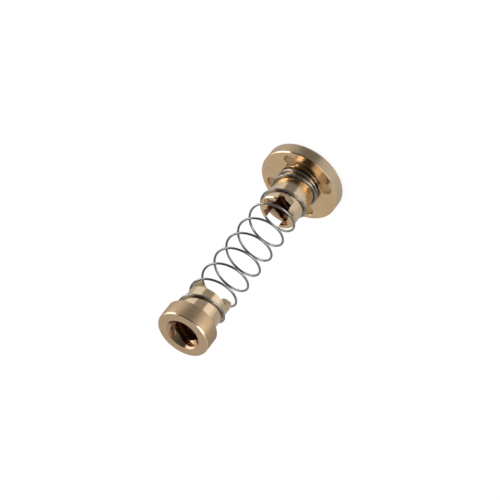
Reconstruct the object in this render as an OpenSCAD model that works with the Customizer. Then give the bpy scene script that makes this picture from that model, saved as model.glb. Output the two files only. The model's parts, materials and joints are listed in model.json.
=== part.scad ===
// Spring-loaded anti-backlash nut for an 8 mm trapezoidal lead screw.
// The flange nut stands on the back of its flange. The screw's axis is Z, with
// the spring above the flange and the collar nut on top of the spring.

/* [Lead screw thread] */
// Diameter across the crests of the nuts' thread, drilled through both nuts
bore_d = 6.2; // [5.6:0.1:6.6]
// Diameter of the countersink where the screw enters either nut
mouth_d = 9.1; // [7.5:0.1:9.5]

/* [Shanks] */
// Outer diameter of both shanks, which guide the spring
shank_d = 10.5; // [10:0.1:12]
// Width of the bevel on turned outer edges
edge_bevel = 0.2; // [0.1:0.05:0.5]

/* [Flange nut] */
// Diameter of the bolting flange
flange_d = 22; // [21:0.5:28]
// Thickness of the bolting flange
flange_t = 3.5; // [2.5:0.1:5]
// Length of the flange nut from the back of its flange to the tips of its tabs
flange_nut_len = 14.8; // [13:0.1:18]
// Number of bolt holes
hole_count = 4; // [3:1:6]
// Diameter of each bolt hole
hole_d = 3.5; // [2.5:0.1:4]
// Diameter of the circle that the bolt holes lie on
hole_circle_d = 16; // [15.5:0.1:17]
// Angle from the X axis to the first bolt hole
hole_turn = 40; // [0:1:90]

/* [Slot and claws] */
// Width of the slot milled across the end of the flange nut's shank
slot_w = 4; // [3.5:0.1:5]
// Depth of that slot
slot_depth = 2.5; // [1.5:0.1:4]
// Gap between each flat of a claw and the slot's wall, when the claws are in the slot
claw_gap = 0.1; // [0.05:0.01:0.3]
// Length of the claws
claw_len = 2.8; // [1.5:0.1:4]
// Turn of the claws away from the line of the slot, as the nut comes off the bench
claw_turn = 90; // [60:1:120]

/* [Collar nut] */
// Diameter of the collar's head
head_d = 13.9; // [13:0.1:18]
// Thickness of the collar's head
head_t = 4.8; // [3:0.1:8]
// Length of the collar's shank, without its claws
collar_shank_len = 7; // [4:0.1:10]

/* [Spring] */
// Diameter of the spring's wire
wire_d = 0.6; // [0.4:0.05:0.8]
// Gap between the shanks and the inside of the coils
coil_gap = 0.07; // [0.05:0.01:0.3]
// Free length between the flange and the collar's head
spring_len = 53.1; // [50:0.1:70]
// Number of turns of wire from end to end
wire_turns = 10.17; // [8:0.01:12]
// Number of turns that lie closed on the flange
closed_turns = 1.22; // [0.5:0.01:2]
// Angle from the X axis to the end of the wire on the flange
wire_start = 86; // [0:1:359]

/* [Hidden] */
$fn = 96;
brass = [0.72, 0.58, 0.40];
steel = [0.62, 0.62, 0.63];
overcut = 1;

// Heights of the collar nut above the back of the flange
head_z = flange_t + spring_len;
shoulder_z = head_z - collar_shank_len;
claw_z = shoulder_z - claw_len;
top_z = head_z + head_t;

// The countersink at each mouth slopes at 45 degrees
mouth_depth = (mouth_d - bore_d) / 2;

// Spring: play is what separates a turned face from the wire, and neighbouring closed coils
play = 0.02;
wire_r = wire_d / 2;
coil_r = shank_d / 2 + coil_gap + wire_r;
lift_turns = 0.27;
closed_pitch = wire_d + play;
wire_low = wire_r + play;
wire_rise = spring_len - 2 * wire_low;
open_turns = wire_turns - closed_turns - lift_turns / 2;
extra_pitch = (wire_rise - closed_pitch * wire_turns) / open_turns;
rings_per_turn = 24;
wire_sides = 8;
ring_count = ceil(wire_turns * rings_per_turn);

// Height gained, beyond the closed pitch, after a number of turns past the closed coils
function lift(turns) =
    turns <= 0 ? 0
    : turns < lift_turns ? extra_pitch * turns * turns / (2 * lift_turns)
    : extra_pitch * (turns - lift_turns / 2);

// Height of the wire's centre above the flange after a number of turns
function wire_z(turns) = wire_low + closed_pitch * turns + lift(turns - closed_turns);

// One corner of the wire's section, on the ring that lies a number of turns from the start
function wire_point(turns, side) =
    let (a = wire_start + 360 * turns,
         s = 360 * side / wire_sides,
         r = coil_r + wire_r * cos(s))
    [r * cos(a), r * sin(a), flange_t + wire_z(turns) + wire_r * sin(s)];

// A turned disc of diameter d from z = low to z = high, bevelled at both outer edges
module turned_disc(d, low, high) {
    rotate_extrude()
        polygon([
            [0, low],
            [d / 2 - edge_bevel, low],
            [d / 2, low + edge_bevel],
            [d / 2, high - edge_bevel],
            [d / 2 - edge_bevel, high],
            [0, high]
        ]);
}

// The drilled bore of a nut from z = low to z = high, countersunk where asked
module screw_bore(low, high, mouth_low, mouth_high) {
    translate([0, 0, low - overcut])
        cylinder(d = bore_d, h = high - low + 2 * overcut);
    if (mouth_low)
        translate([0, 0, low])
            mouth();
    if (mouth_high)
        translate([0, 0, high])
            mirror([0, 0, 1])
                mouth();
}

// The countersink of a mouth in a face at z = 0, opening downwards
module mouth() {
    translate([0, 0, -overcut])
        cylinder(d1 = mouth_d + 2 * overcut, d2 = bore_d, h = mouth_depth + overcut);
}

// A bar across the axis, as wide as given, that the slot and the claws are cut to
module cross_bar(w, low, high) {
    translate([-shank_d, -w / 2, low])
        cube([2 * shank_d, w, high - low]);
}

module flange_nut() {
    color(brass)
        difference() {
            union() {
                turned_disc(flange_d, 0, flange_t);
                turned_disc(shank_d, edge_bevel, flange_nut_len);
            }
            screw_bore(0, flange_nut_len, true, false);
            for (i = [0 : hole_count - 1])
                rotate(hole_turn + 360 * i / hole_count)
                    translate([hole_circle_d / 2, 0, -overcut])
                        cylinder(d = hole_d, h = flange_t + 2 * overcut);
            rotate(90)
                cross_bar(slot_w, flange_nut_len - slot_depth, flange_nut_len + overcut);
        }
}

module spring() {
    points = [
        for (i = [0 : ring_count], k = [0 : wire_sides - 1])
            wire_point(wire_turns * i / ring_count, k)
    ];
    sides = [
        for (i = [0 : ring_count - 1], k = [0 : wire_sides - 1])
            let (a = i * wire_sides + k,
                 b = i * wire_sides + (k + 1) % wire_sides)
            each [[a, a + wire_sides, b], [b, a + wire_sides, b + wire_sides]]
    ];
    first_end = [for (k = [0 : wire_sides - 1]) k];
    last_end = [for (k = [wire_sides - 1 : -1 : 0]) ring_count * wire_sides + k];
    color(steel)
        polyhedron(points, concat(sides, [first_end, last_end]));
}

module collar_nut() {
    color(brass)
        difference() {
            union() {
                turned_disc(head_d, head_z, top_z);
                intersection() {
                    turned_disc(shank_d, claw_z, head_z + head_t / 2);
                    union() {
                        translate([0, 0, shoulder_z])
                            cylinder(d = head_d, h = top_z - shoulder_z);
                        rotate(90 + claw_turn)
                            cross_bar(slot_w - 2 * claw_gap, claw_z, top_z);
                    }
                }
            }
            screw_bore(claw_z, top_z, false, true);
        }
}

flange_nut();
spring();
collar_nut();
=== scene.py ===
import json
import math

import bmesh
import bpy
from mathutils import Matrix, Vector


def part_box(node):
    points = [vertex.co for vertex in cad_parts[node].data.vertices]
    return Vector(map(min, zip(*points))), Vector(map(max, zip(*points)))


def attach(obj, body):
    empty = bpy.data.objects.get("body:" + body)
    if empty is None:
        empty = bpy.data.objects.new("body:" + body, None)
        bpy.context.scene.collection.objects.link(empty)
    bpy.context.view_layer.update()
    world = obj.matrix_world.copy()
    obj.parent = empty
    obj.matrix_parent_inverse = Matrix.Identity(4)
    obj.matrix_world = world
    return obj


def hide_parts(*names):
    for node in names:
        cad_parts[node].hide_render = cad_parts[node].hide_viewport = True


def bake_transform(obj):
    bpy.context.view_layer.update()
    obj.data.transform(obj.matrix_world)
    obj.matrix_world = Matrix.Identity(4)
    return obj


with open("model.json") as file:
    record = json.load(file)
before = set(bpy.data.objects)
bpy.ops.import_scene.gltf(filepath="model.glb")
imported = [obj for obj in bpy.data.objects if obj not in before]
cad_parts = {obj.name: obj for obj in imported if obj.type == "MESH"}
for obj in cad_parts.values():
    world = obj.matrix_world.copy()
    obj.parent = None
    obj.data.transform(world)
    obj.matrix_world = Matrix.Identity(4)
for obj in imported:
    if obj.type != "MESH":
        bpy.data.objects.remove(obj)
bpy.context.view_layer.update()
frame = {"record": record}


# Flange nut.
# One piece of free-cutting brass bar, turned to a flange and a shank, drilled and tapped right
# through with a four-start trapezoidal thread, then drilled for bolts and slotted with a mill.

mm = 0.001
mounts = {mount["name"]: mount["dims"] for mount in frame["record"]["mounts"]}
flange_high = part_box("flange_nut")[1]
flange_radius = flange_high.x
flange_thickness = 3.5 * mm
flange_nut_length = flange_high.z
shank_radius = 5.25 * mm
edge_bevel = 0.2 * mm
shank_bevel = 0.3 * mm
bolt_circle_radius = mounts["flange_bolts"]["pcd_mm"] / 2 * mm
bolt_hole_radius = mounts["flange_bolts"]["hole_r_mm"] * mm
bolt_count = mounts["flange_bolts"]["count"]
first_bolt_angle = math.radians(40)
hole_bevel = 0.08 * mm
slot_width = 4 * mm
slot_bottom = flange_nut_length - 2.5 * mm
slot_bevel = 0.07 * mm

thread_starts = 4
thread_pitch = 2 * mm
thread_crest_radius = mounts["flange_thread"]["r_mm"] * mm
thread_root_radius = 4.15 * mm
thread_flank_angle = math.radians(15)
thread_flank = (thread_root_radius - thread_crest_radius) * math.tan(thread_flank_angle)
thread_flat = thread_pitch / 2 - thread_flank
thread_mouth_radius = 4.55 * mm
mouth_depth = thread_mouth_radius - thread_crest_radius

# how far a cutting tool runs on past the metal
overcut = 1 * mm


def about_axis(radius, angle, height):
    """The point at a radius, an angle and a height about the screw's axis, which is Z."""
    return Vector((radius * math.cos(angle), radius * math.sin(angle), height))


def place_body(name, body):
    """Makes a finished bmesh into an object in the scene."""
    mesh = bpy.data.meshes.new(name)
    body.to_mesh(mesh)
    body.free()
    placed = bpy.data.objects.new(name, mesh)
    bpy.context.scene.collection.objects.link(placed)
    return placed


def revolve(name, outline, facets=288):
    """A solid of revolution about Z. The outline's first and last points lie on the axis."""
    body = bmesh.new()
    rings = []
    for radius, height in outline:
        count = facets if radius > 0 else 1
        turns = [2 * math.pi * i / count for i in range(count)]
        rings.append([body.verts.new(about_axis(radius, turn, height)) for turn in turns])
    for lower, upper in zip(rings, rings[1:]):
        for i in range(facets):
            k = (i + 1) % facets
            near = [lower[i % len(lower)], lower[k % len(lower)]]
            far = [upper[k % len(upper)], upper[i % len(upper)]]
            # next to the axis two of the four corners are one point, and the face is a triangle
            body.faces.new(dict.fromkeys(near + far))
    bmesh.ops.recalc_face_normals(body, faces=body.faces)
    return place_body(name, body)


def loft(name, loops):
    """A closed body with its skin drawn over loops that have the same number of points."""
    body = bmesh.new()
    rings = [[body.verts.new(point) for point in loop] for loop in loops]
    for lower, upper in zip(rings, rings[1:]):
        for i in range(len(lower)):
            k = (i + 1) % len(lower)
            body.faces.new((lower[i], lower[k], upper[k], upper[i]))
    body.faces.new(reversed(rings[0]))
    body.faces.new(rings[-1])
    bmesh.ops.recalc_face_normals(body, faces=body.faces)
    return place_body(name, body)


def tap(low, high):
    """The tap that cuts the thread between two heights: a core with four right-hand ridges."""
    # radius at either end, width along the axis, and how many facets it takes
    stretches = [
        (thread_root_radius, thread_root_radius, thread_flat, 8),
        (thread_root_radius, thread_crest_radius, thread_flank, 3),
        (thread_crest_radius, thread_crest_radius, thread_flat, 8),
        (thread_crest_radius, thread_root_radius, thread_flank, 3),
    ]
    section = []
    along = 0.0
    for _ in range(thread_starts):
        for first, last, width, facets in stretches:
            for i in range(facets):
                section.append((along + width * i / facets, first + (last - first) * i / facets))
            along += width
    lead = thread_starts * thread_pitch
    ring_spacing = 0.15 * mm
    steps = math.ceil((high - low) / ring_spacing)
    loops = []
    for i in range(steps + 1):
        height = low + (high - low) * i / steps
        loop = []
        for shift, radius in section:
            loop.append(about_axis(radius, 2 * math.pi * (height + shift) / lead, height))
        loops.append(loop)
    return loft("tap", loops)


def drill(radius, low, high, bevel):
    """A drill that countersinks both ends of a hole through metal between two heights."""
    return revolve("drill", [
        (0, low - overcut),
        (radius + bevel + overcut, low - overcut),
        (radius, low + bevel),
        (radius, high - bevel),
        (radius + bevel + overcut, high + overcut),
        (0, high + overcut),
    ], facets=96)


def countersink(face_height, inward):
    """The cone that opens the thread's mouth in a face: inward is 1 if the metal is above it, else -1."""
    past_crest = 0.2 * mm
    outside = face_height - inward * overcut
    inside = face_height + inward * (mouth_depth + past_crest)
    outline = [
        (0, outside),
        (thread_mouth_radius + overcut, outside),
        (thread_crest_radius - past_crest, inside),
        (0, inside),
    ]
    return revolve("countersink", outline[::inward])


def mill(width, length, low, high, bevel=0):
    """A cutter along Y that leaves a straight slot, with its edges broken at the top if bevel is given."""
    half = width / 2
    section = [(-half, low), (half, low), (half, high), (-half, high)]
    if bevel:
        section[2:] = [
            (half, high - bevel),
            (half + bevel + overcut, high + overcut),
            (-half - bevel - overcut, high + overcut),
            (-half, high - bevel),
        ]
    return loft("mill", [[(x, y, z) for x, z in section] for y in (-length / 2, length / 2)])


def cut_away(work, tool):
    """Cuts the tool's shape out of the work, and puts the tool away."""
    cut = work.modifiers.new("cut", "BOOLEAN")
    cut.operation = "DIFFERENCE"
    cut.solver = "MANIFOLD"
    cut.object = tool
    bpy.context.view_layer.update()
    finished = bpy.data.meshes.new_from_object(work.evaluated_get(bpy.context.evaluated_depsgraph_get()))
    work.modifiers.clear()
    work.data = finished
    bpy.data.objects.remove(tool)


def node(tree, kind, inputs=(), **settings):
    """Adds a shader node; each input is (socket, a value or another node's output)."""
    made = tree.nodes.new(kind)
    for setting, value in settings.items():
        setattr(made, setting, value)
    for socket, value in inputs:
        if isinstance(value, bpy.types.NodeSocket):
            tree.links.new(value, made.inputs[socket])
        else:
            made.inputs[socket].default_value = value
    return made


def arithmetic(tree, operation, first, second):
    """The result of one operation on two values."""
    return node(tree, "ShaderNodeMath", [(0, first), (1, second)], operation=operation).outputs[0]


def mottle(tree, inputs, **settings):
    """The value, from 0 to 1, of an uneven pattern."""
    return node(tree, "ShaderNodeTexNoise", inputs, **settings).outputs["Fac"]


def spread(tree, value, low, high, made_low, made_high):
    """Makes a value's range from low to high into the range from made_low to made_high."""
    given = [("Value", value), ("From Min", low), ("From Max", high)]
    wanted = [("To Min", made_low), ("To Max", made_high)]
    return node(tree, "ShaderNodeMapRange", given + wanted).outputs[0]


def turned_brass(name, colour, roughness, grain, marks):
    """Brass as a tool leaves it: fine rings about Z, a little uneven, with a thin warm tarnish."""
    brass = bpy.data.materials.new(name)
    brass.use_nodes = True
    tree = brass.node_tree
    shader = tree.nodes["Principled BSDF"]
    place = node(tree, "ShaderNodeTexCoord").outputs["Object"]
    split = node(tree, "ShaderNodeSeparateXYZ", [(0, place)])
    flat = node(tree, "ShaderNodeCombineXYZ", [(0, split.outputs[0]), (1, split.outputs[1])])
    radius = node(tree, "ShaderNodeVectorMath", [(0, flat.outputs[0])], operation="LENGTH").outputs["Value"]
    along = arithmetic(tree, "ADD", radius, split.outputs[2])

    # the tool's feed leaves fine rings, and the bar's chatter leaves broader bands
    feed = 0.1 * mm
    chatter = 0.8 * mm
    mark_depth = 0.01 * mm
    fine = arithmetic(tree, "MULTIPLY", along, 1 / feed)
    rings = mottle(tree, [("W", fine), ("Detail", 3)], noise_dimensions="1D")
    broad = arithmetic(tree, "MULTIPLY", along, 1 / chatter)
    bands = mottle(tree, [("W", broad), ("Detail", 2)], noise_dimensions="1D")
    patches = mottle(tree, [("Vector", place), ("Scale", 260), ("Detail", 4)])

    red, green, blue = colour
    clean = (red, green, blue, 1)
    tarnished = (0.92 * red, 0.87 * green, 0.8 * blue, 1)
    cover = spread(tree, patches, 0.4, 0.75, 0.1, 0.7)
    # a colour mix takes its two colours at sockets 6 and 7, and gives the result at socket 2
    mix = node(tree, "ShaderNodeMix", [("Factor", cover), (6, clean), (7, tarnished)], data_type="RGBA")
    tree.links.new(mix.outputs[2], shader.inputs["Base Color"])
    uneven = arithmetic(tree, "ADD", bands, patches)
    rough = spread(tree, uneven, 0.6, 1.4, 0.85 * roughness, 1.15 * roughness)
    tree.links.new(rough, shader.inputs["Roughness"])
    shader.inputs["Metallic"].default_value = 1
    shader.inputs["Anisotropic"].default_value = grain
    shader.inputs["Anisotropic Rotation"].default_value = 0.25
    tangent = node(tree, "ShaderNodeTangent", direction_type="RADIAL", axis="Z").outputs[0]
    tree.links.new(tangent, shader.inputs["Tangent"])
    bump = node(tree, "ShaderNodeBump", [("Height", rings), ("Strength", marks), ("Distance", mark_depth)])
    tree.links.new(bump.outputs[0], shader.inputs["Normal"])
    return brass


barrel_brass = turned_brass("barrel_brass", (0.84, 0.66, 0.46), roughness=0.11, grain=0.6, marks=0.2)
# painted shade: the tapped bore's brass is given a dark red-brown colour that stands in for the shade deep
# inside the thread
shaded_bore_brass = turned_brass("shaded_bore_brass", (0.46, 0.27, 0.155), roughness=0.34, grain=0, marks=0.2)
milled_brass = turned_brass("milled_brass", (0.80, 0.61, 0.41), roughness=0.45, grain=0, marks=0.2)
drilled_brass = turned_brass("drilled_brass", (0.88, 0.63, 0.36), roughness=0.30, grain=0, marks=0.2)
flange_face_brass = turned_brass(
    "flange_face_brass", (0.80, 0.58, 0.345), roughness=0.10, grain=0.6, marks=0.25
)
# painted shade: the rim's brass is darker than the faces', standing in for the shade in its rough tool
# grooves and on the flange's side
flange_rim_shaded_brass = turned_brass("flange_rim_shaded_brass", (0.59, 0.47, 0.32), roughness=0.45, grain=0.5, marks=0.6)


def finish_brass(piece, rim_radius, milled_height, faced, shaded_rim):
    """Smooths the curved faces and gives each face the finish its tool left; the bore's and the rims'
    finishes are darkened with painted shade.
    """
    finishes = [faced, barrel_brass, shaded_rim, shaded_bore_brass, milled_brass, drilled_brass]
    mesh = piece.data
    mesh.materials.clear()
    for finish in finishes:
        mesh.materials.append(finish)
    height_error = 0.02 * mm
    rim_depth = 0.05 * mm
    # the bevels and the shank's skin lie this near to the turned diameters
    turned_depth = 0.5 * mm
    # level is 1 on a face across the axis and 0 on one along it; outward is 1 on one that looks straight out
    for face in mesh.polygons:
        radius = math.hypot(face.center.x, face.center.y)
        outward = (face.normal.x * face.center.x + face.normal.y * face.center.y) / radius
        level = abs(face.normal.z)
        flat = level > 0.99
        milled_wall = radius < shank_radius and level < 0.1 and abs(outward) < 0.75
        milled_floor = flat and abs(face.center.z - milled_height) < height_error
        mouth_cone = radius < thread_mouth_radius and 0.6 < level < 0.8
        if milled_wall or milled_floor:
            finish = milled_brass
        elif flat or mouth_cone:
            finish = faced
        elif radius < thread_root_radius:
            finish = shaded_bore_brass
        elif radius > rim_radius - rim_depth:
            finish = shaded_rim
        elif radius > rim_radius - turned_depth or radius < shank_radius + turned_depth:
            finish = barrel_brass
        else:
            finish = drilled_brass
        face.material_index = finishes.index(finish)
    mesh.shade_smooth()
    mesh.set_sharp_from_angle(angle=math.radians(30))


flange_nut = revolve("flange_nut_turned", [
    (0, 0),
    (flange_radius - edge_bevel, 0),
    (flange_radius, edge_bevel),
    (flange_radius, flange_thickness - edge_bevel),
    (flange_radius - edge_bevel, flange_thickness),
    (shank_radius, flange_thickness),
    (shank_radius, flange_nut_length - shank_bevel),
    (shank_radius - shank_bevel, flange_nut_length),
    (0, flange_nut_length),
])
for i in range(bolt_count):
    hole = drill(bolt_hole_radius, 0, flange_thickness, hole_bevel)
    hole.location = about_axis(bolt_circle_radius, first_bolt_angle + 2 * math.pi * i / bolt_count, 0)
    cut_away(flange_nut, hole)
cut_away(flange_nut, tap(-overcut, flange_nut_length + overcut))
cut_away(flange_nut, countersink(0, inward=1))
cut_away(flange_nut, mill(slot_width, 4 * shank_radius, slot_bottom, flange_nut_length, slot_bevel))
finish_brass(flange_nut, flange_radius, slot_bottom, flange_face_brass, flange_rim_shaded_brass)
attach(flange_nut, "flange_nut")
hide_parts("flange_nut")


# Collar nut.
# The same brass and the same thread. Its head takes the spring's push, its shank keeps the coils
# in line, and two claws milled at the shank's end slide in the flange nut's slot.

collar_low, collar_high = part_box("collar_nut")
head_radius = collar_high.x
head_top = collar_high.z
head_bottom = head_top - 4.8 * mm
claw_tip = collar_low.z
shoulder = claw_tip + 2.8 * mm
claw_width = 3.8 * mm

# the head's outer edge has a steep lead-in, and above it a small corner broken with a file
lead_in = 0.45 * mm
corner_height = 0.05 * mm
corner_start = 0.15 * mm
corner_end = 0.2 * mm

collar_nut = revolve("collar_nut_turned", [
    (0, claw_tip),
    (shank_radius - shank_bevel, claw_tip),
    (shank_radius, claw_tip + shank_bevel),
    (shank_radius, head_bottom),
    (head_radius - edge_bevel, head_bottom),
    (head_radius, head_bottom + edge_bevel),
    (head_radius, head_top - lead_in),
    (head_radius - corner_start, head_top - corner_height),
    (head_radius - corner_end, head_top),
    (0, head_top),
])
cut_away(collar_nut, tap(claw_tip - overcut, head_top + overcut))
cut_away(collar_nut, countersink(head_top, inward=-1))
for side in (-1, 1):
    waste = mill(2 * shank_radius, 4 * shank_radius, claw_tip - overcut, shoulder)
    waste.rotation_euler.z = math.radians(90)
    waste.location.y = side * (claw_width / 2 + shank_radius)
    cut_away(collar_nut, waste)
head_face_brass = turned_brass("head_face_brass", (0.70, 0.50, 0.325), roughness=0.16, grain=0.6, marks=0.35)
# painted shade: the head's rim is given a darker brass than its face, standing in for the shade in its rough
# tool grooves and on the head's side
head_rim_shaded_brass = turned_brass("head_rim_shaded_brass", (0.59, 0.43, 0.265), roughness=0.45, grain=0.5, marks=0.6)
finish_brass(collar_nut, head_radius, shoulder, head_face_brass, head_rim_shaded_brass)
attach(collar_nut, "collar")
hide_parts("collar_nut")


# Spring.
# One length of bright stainless wire, coiled right-handed. Its first turn is wound close and
# sits on the flange, and the open turns push on the back of the collar's head.

wire_radius = 0.3 * mm
coil_gap = 0.07 * mm
coil_radius = shank_radius + coil_gap + wire_radius
# what parts the wire from the turned faces, and one closed turn from the next
wire_play = 0.02 * mm
wire_turns = 10.17
closed_turns = 1.22
# how many turns the pitch takes to open from closed to full
lift_turns = 0.27
closed_pitch = 2 * wire_radius + wire_play
wire_start = math.radians(86)
wire_bottom = flange_thickness + wire_radius + wire_play
wire_top = head_bottom - wire_radius - wire_play
open_rise = wire_top - wire_bottom - closed_pitch * wire_turns


def opening(turns):
    """The share of the open turns' height, from 0 to 1, that is gained a number of turns along."""
    past = max(turns - closed_turns, 0)
    gained = past * past / (2 * lift_turns) if past < lift_turns else past - lift_turns / 2
    return gained / (wire_turns - closed_turns - lift_turns / 2)


def wire_centre(turns):
    """The centre of the wire a number of turns from its end."""
    height = wire_bottom + closed_pitch * turns + open_rise * opening(turns)
    return about_axis(coil_radius, wire_start + 2 * math.pi * turns, height)


def coil_wire(name, sides=20, rings_per_turn=72):
    """The wire as a tube with slightly rounded ends, and each corner's share of the spring's travel."""
    rings = math.ceil(wire_turns * rings_per_turn)
    end_rings = 2
    round_off = 0.08 * mm
    # 1 would round the ends off to a full quarter circle
    roundness = 0.96
    turn_step = 1e-4
    travel = []
    loops = []
    for i in range(-end_rings, rings + end_rings + 1):
        turns = wire_turns * min(max(i, 0), rings) / rings
        along = (wire_centre(turns + turn_step) - wire_centre(turns - turn_step)).normalized()
        beyond = max(-i, i - rings, 0) / end_rings
        centre = wire_centre(turns) + along * round_off * beyond * (1 if i > 0 else -1)
        radius = wire_radius - round_off * (1 - math.sqrt(1 - roundness * beyond * beyond))
        outward = Vector((centre.x, centre.y, 0)).normalized()
        outward = (outward - along * outward.dot(along)).normalized()
        upward = along.cross(outward)
        angles = [2 * math.pi * k / sides for k in range(sides)]
        loops.append([centre + radius * (outward * math.cos(a) + upward * math.sin(a)) for a in angles])
        travel += [opening(turns)] * sides
    wire = loft(name, loops)
    wire.data.shade_smooth()
    wire.data.set_sharp_from_angle(angle=math.radians(50))
    return wire, travel


def drawn_wire(name):
    """Stainless wire, bright from the drawing die, with faint marks where the coiler's fingers ran."""
    steel = bpy.data.materials.new(name)
    steel.use_nodes = True
    tree = steel.node_tree
    shader = tree.nodes["Principled BSDF"]
    place = node(tree, "ShaderNodeTexCoord").outputs["Object"]
    patches = mottle(tree, [("Vector", place), ("Scale", 900), ("Detail", 3)])
    shade = node(tree, "ShaderNodeValToRGB", [("Fac", patches)])
    dull, bright = shade.color_ramp.elements
    dull.color = (0.27, 0.265, 0.26, 1)
    dull.position = 0.35
    bright.color = (0.42, 0.41, 0.40, 1)
    bright.position = 0.65
    tree.links.new(shade.outputs["Color"], shader.inputs["Base Color"])
    tree.links.new(spread(tree, patches, 0, 1, 0.10, 0.22), shader.inputs["Roughness"])
    shader.inputs["Metallic"].default_value = 1
    return steel


spring, travel = coil_wire("spring_wound")
spring.data.materials.append(drawn_wire("drawn_wire"))
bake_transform(spring)
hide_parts("spring")


# Studio.
# A white table with one soft lamp overhead. Grey card on the table and a paper tent with windows
# and a skylight are seen by the metal only. The camera is rolled, so that the screw's axis slants.

half_table = 3.0
table_mesh = bpy.data.meshes.new("table")
table_corners = [
    (-half_table, -half_table, 0),
    (half_table, -half_table, 0),
    (half_table, half_table, 0),
    (-half_table, half_table, 0),
]
table_mesh.from_pydata(table_corners, [], [(0, 1, 2, 3)])
table = bpy.data.objects.new("table", table_mesh)
bpy.context.scene.collection.objects.link(table)

# to the eye and in the metal, most of the table's white is even, and the rest takes the shadow
even_share = 0.85
white = bpy.data.materials.new("white_table")
white.use_nodes = True
tree = white.node_tree
tree.nodes.clear()
matt = node(tree, "ShaderNodeBsdfDiffuse", [("Color", (0.9, 0.9, 0.9, 1))])
glow = node(tree, "ShaderNodeEmission", [("Color", (1, 1, 1, 1)), ("Strength", 1)])
rays = node(tree, "ShaderNodeLightPath").outputs
seen = arithmetic(tree, "MAXIMUM", rays["Is Camera Ray"], rays["Is Glossy Ray"])
seen = arithmetic(tree, "MAXIMUM", seen, rays["Is Transmission Ray"])
share = arithmetic(tree, "MULTIPLY", seen, even_share)
blend = node(tree, "ShaderNodeMixShader", [(0, share), (1, matt.outputs[0]), (2, glow.outputs[0])])
node(tree, "ShaderNodeOutputMaterial", [("Surface", blend.outputs[0])])
table_mesh.materials.append(white)


def surround(name, shades, near, far, low, high):
    """A ring of card about the part, from radius near at height low to radius far at height high.

    Its shade runs softly from each (azimuth in degrees, shade) to the next, and then to the first.
    """
    strip_width = 2
    body = bmesh.new()
    edges = []
    tones = []
    for i, (start, shade) in enumerate(shades):
        end, next_shade = shades[(i + 1) % len(shades)]
        width = (end - start) % 360
        steps = math.ceil(width / strip_width)
        for k in range(steps):
            azimuth = math.radians(start + width * k / steps)
            tone = shade + (next_shade - shade) * (1 - math.cos(math.pi * k / steps)) / 2
            corners = [about_axis(near, azimuth, low), about_axis(far, azimuth, high)]
            edges.append([body.verts.new(corner) for corner in corners])
            tones += [tone, tone]
    for left, right in zip(edges, edges[1:] + edges[:1]):
        body.faces.new((left[0], left[1], right[1], right[0]))
    ring = place_body(name, body)
    ring.data.attributes.new("tone", "FLOAT", "POINT").data.foreach_set("value", tones)
    paper = bpy.data.materials.new(name)
    paper.use_nodes = True
    tree = paper.node_tree
    tree.nodes.clear()
    tone = node(tree, "ShaderNodeAttribute", attribute_name="tone").outputs["Fac"]
    glow = node(tree, "ShaderNodeEmission", [("Color", (1, 0.99, 0.97, 1)), ("Strength", tone)])
    node(tree, "ShaderNodeOutputMaterial", [("Surface", glow.outputs[0])])
    ring.data.materials.append(paper)
    ring.visible_camera = False
    ring.visible_diffuse = False
    ring.visible_shadow = False


def even(shade):
    """The same shade all the way round."""
    return [(-180, shade), (0, shade)]


rim_shades = [
    (-100, 0.78), (-91, 0.28), (-68, 0.28), (-56, 0.62), (-40, 0.72), (5, 0.62), (25, 0.50), (120, 0.50),
    (160, 0.58), (190, 0.68), (240, 0.76),
]
near_shades = [
    (-104, 0.74), (-92, 0.24), (-50, 0.24), (-38, 0.76), (5, 0.62), (25, 0.48), (120, 0.48), (185, 0.55),
    (205, 0.68), (240, 0.76),
]
far_shades = [
    (-104, 0.95), (-92, 0.32), (-48, 0.32), (-36, 0.85), (0, 0.85), (28, 0.50), (190, 0.47), (210, 0.75),
    (230, 1.0),
]
under_height = 0.1 * mm
card_height = 0.2 * mm
rim_card_start = flange_radius + 0.2 * mm
near_card_start = 14.5 * mm
far_card_start = 40 * mm
tent_radius = 300 * mm
surround("rim_card", rim_shades, rim_card_start, near_card_start, card_height, card_height)
surround("near_card", near_shades, near_card_start, far_card_start, card_height, card_height)
surround("far_card", far_shades, far_card_start, tent_radius, card_height, card_height)
surround("under_card", even(0.38), 0, rim_card_start, under_height, under_height)

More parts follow.
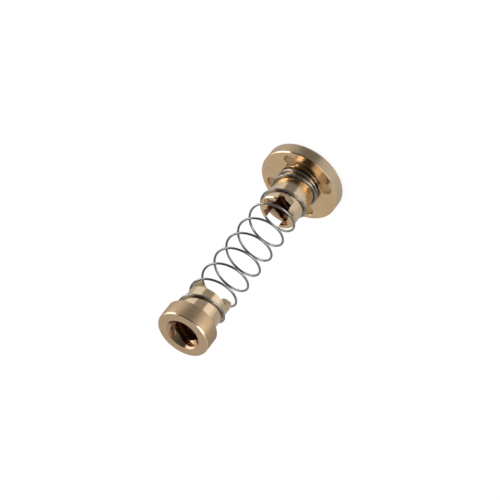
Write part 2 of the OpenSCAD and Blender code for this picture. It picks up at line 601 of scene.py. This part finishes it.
foot_shades = [
    (-130, 2.2), (-116, 0.26), (-27, 0.26), (-14, 1.5), (12, 1.6), (36, 0.50), (86, 0.58), (122, 0.45),
    (198, 0.60), (212, 2.2),
]
window_shades = [
    (-126, 4.6), (-112, 0.4), (-98, 0.05), (-42, 0.05), (-28, 0.8), (-12, 3.6), (12, 3.2), (26, 1.8),
    (40, 0.60), (86, 0.55), (122, 0.45), (180, 0.55), (198, 1.4), (212, 4.6),
]
tent_shades = [
    (-100, 0.62), (-89, 0.14), (-78, 0.05), (-25, 0.05), (-11, 1.8), (12, 1.75), (36, 0.50),
    (86, 0.58), (122, 0.45), (200, 0.47), (218, 0.80), (242, 0.85),
]
tent_height = 450 * mm
tent_rings = [
    ("tent_foot", foot_shades, 0),
    ("windows", window_shades, 95 * mm),
    ("tent", tent_shades, 141 * mm),
    ("tent_top", even(0.08), 225 * mm),
    ("skylight", even(0.30), 300 * mm),
]
tent_edges = [low for _, _, low in tent_rings] + [tent_height]
for (name, shades, low), high in zip(tent_rings, tent_edges[1:]):
    near = tent_radius * (1 - low / tent_height)
    far = tent_radius * (1 - high / tent_height)
    surround(name, shades, near, far, low, high)

world = bpy.data.worlds.new("studio")
bpy.context.scene.world = world
world.use_nodes = True
world.node_tree.nodes["Background"].inputs["Color"].default_value = (0.95, 0.95, 0.95, 1)

lamp_data = bpy.data.lights.new("overhead_lamp", "AREA")
lamp_data.shape = "DISK"
lamp_data.size = 0.5
lamp_data.energy = 3
lamp = bpy.data.objects.new("overhead_lamp", lamp_data)
bpy.context.scene.collection.objects.link(lamp)
lamp.location = (0.1, 0.1, 0.8)
lamp.rotation_euler = (-lamp.location).to_track_quat("-Z", "Y").to_euler()
lamp.visible_glossy = False

camera_data = bpy.data.cameras.new("camera")
camera_data.sensor_width = 36
camera_data.lens = 133.2
camera_data.clip_start = 0.01
camera_data.clip_end = 20
camera = bpy.data.objects.new("camera", camera_data)
bpy.context.scene.collection.objects.link(camera)
aim = Vector((-0.3, 0, 29.25)) * mm
distance = 460.9 * mm
azimuth = math.radians(4)
elevation = math.radians(36.19)
roll = math.radians(142.1)
level_back = Vector((-math.sin(azimuth), -math.cos(azimuth), 0))
back = level_back * math.cos(elevation) + Vector((0, 0, math.sin(elevation)))
upright = back.to_track_quat("Z", "Y").to_matrix()
rolled = upright @ Matrix.Rotation(-roll, 3, "Z")
camera.matrix_world = Matrix.Translation(aim + back * distance) @ rolled.to_4x4()
bpy.context.scene.camera = camera

bpy.context.scene.view_settings.view_transform = "Standard"
